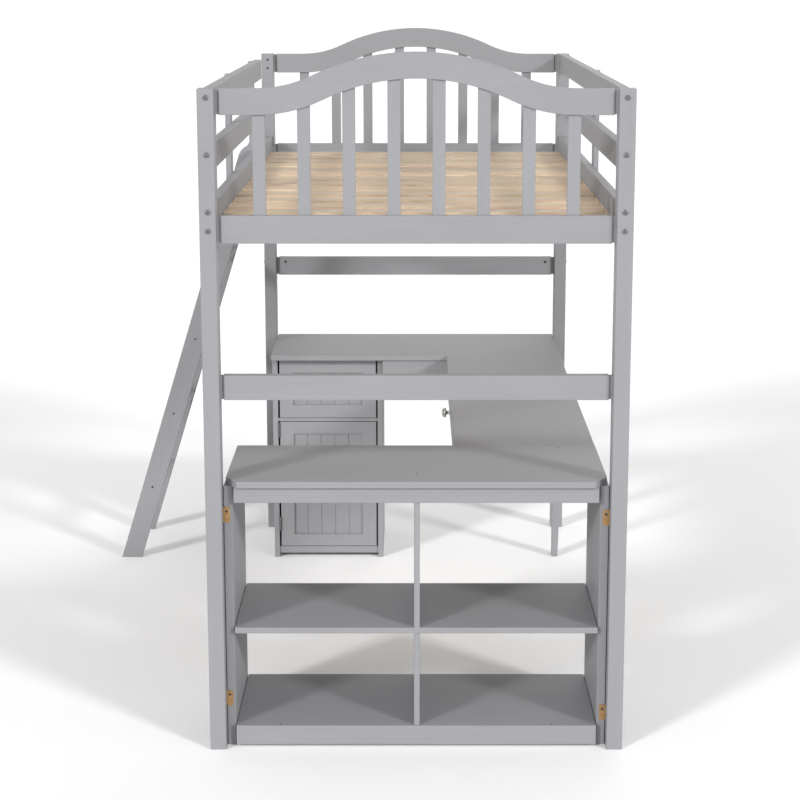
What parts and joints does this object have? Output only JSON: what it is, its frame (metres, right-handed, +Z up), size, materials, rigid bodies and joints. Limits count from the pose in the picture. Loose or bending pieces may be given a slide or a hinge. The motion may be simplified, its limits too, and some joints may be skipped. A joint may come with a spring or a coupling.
{
  "type": "loft bed with desk",
  "caption": "Wooden loft bed with arched spindle ends, guard rails, a leaning side ladder, and a U-shaped desk with drawers, a cabinet and an open bookcase below.",
  "frame": {"origin": "middle of the footprint (bed with its ladder), on the floor", "axes": "+Z up; +Y along the bed from the bookcase end to the ladder end; +X across the bed, from the ladder side to the closed side"},
  "size_m": [1.568, 2.026, 1.8125],
  "materials": {
    "painted_wood": "satin grey paint over softwood, grain faintly showing",
    "bare_pine": "unfinished planed pine",
    "drawer_wood": "clear-sealed plywood and softwood",
    "zinc_steel": "bright zinc plate",
    "satin_nickel": "satin nickel plate",
    "brass_plate": "yellow-passivated steel plate"
  },
  "bodies": {
    "frame": {"front_left_post": "painted_wood", "front_right_post": "painted_wood", "rear_left_post": "painted_wood", "rear_right_post": "painted_wood", "front_arch_rail": "painted_wood", "front_lower_rail": "painted_wood", "front_cross_rail": "painted_wood", "rear_arch_rail": "painted_wood", "rear_lower_rail": "painted_wood", "rear_cross_rail": "painted_wood", "end_spindles": "painted_wood", "slat_ledges": "painted_wood", "left_side_rail": "painted_wood", "right_side_rail": "painted_wood", "left_guard_rails": "painted_wood", "right_guard_rails": "painted_wood", "guard_stiles": "painted_wood", "ladder_front_stile": "painted_wood", "ladder_rear_stile": "painted_wood", "ladder_treads": "painted_wood", "bookcase_left_side": "painted_wood", "bookcase_right_side": "painted_wood", "bookcase_divider": "painted_wood", "bookcase_shelf": "painted_wood", "bookcase_bottom": "painted_wood", "bookcase_kick_board": "painted_wood", "bookcase_apron": "painted_wood", "bookcase_top": "painted_wood", "side_desk_top": "painted_wood", "rear_desk_top": "painted_wood", "side_desk_inner_aprons": "painted_wood", "side_desk_outer_apron": "painted_wood", "rear_desk_apron": "painted_wood", "rear_desk_back_rail": "painted_wood", "desk_leg": "painted_wood", "cabinet_left_side": "painted_wood", "cabinet_right_side": "painted_wood", "cabinet_bottom": "painted_wood", "cabinet_divider": "painted_wood", "cabinet_back": "painted_wood", "bed_slats": "bare_pine", "desk_cross_rails": "drawer_wood", "drawer_runners": "drawer_wood", "frame_bolts": "zinc_steel", "barrel_nuts": "zinc_steel", "wood_screws": "zinc_steel", "hinge_cabinet_leaves": "zinc_steel", "hinge_pins": "zinc_steel", "corner_brackets": "brass_plate"},
    "cabinet_drawer": {"cabinet_drawer_front": "painted_wood", "cabinet_drawer_panel": "painted_wood", "cabinet_drawer_box": "drawer_wood", "cabinet_drawer_knob": "satin_nickel"},
    "cabinet_door": {"cabinet_door_frame": "painted_wood", "cabinet_door_panel": "painted_wood", "cabinet_door_knob": "satin_nickel", "hinge_door_leaves": "zinc_steel"},
    "desk_drawer": {"desk_drawer_front": "painted_wood", "desk_drawer_box": "drawer_wood", "desk_drawer_knob": "satin_nickel"}
  },
  "joints": [
    {"name": "cabinet_drawer_slide", "type": "slide", "parent": "frame", "child": "cabinet_drawer", "axis": [0, -1, 0], "range_m": [0, 0.22]},
    {"name": "desk_drawer_slide", "type": "slide", "parent": "frame", "child": "desk_drawer", "axis": [-1, 0, 0], "range_m": [0, 0.24]},
    {"name": "cabinet_door_hinge", "type": "hinge", "parent": "frame", "child": "cabinet_door", "pos_m": [-0.23002, 0.601, 0.287], "axis": [0, 0, -1], "range_deg": [0, 110]}
  ]
}
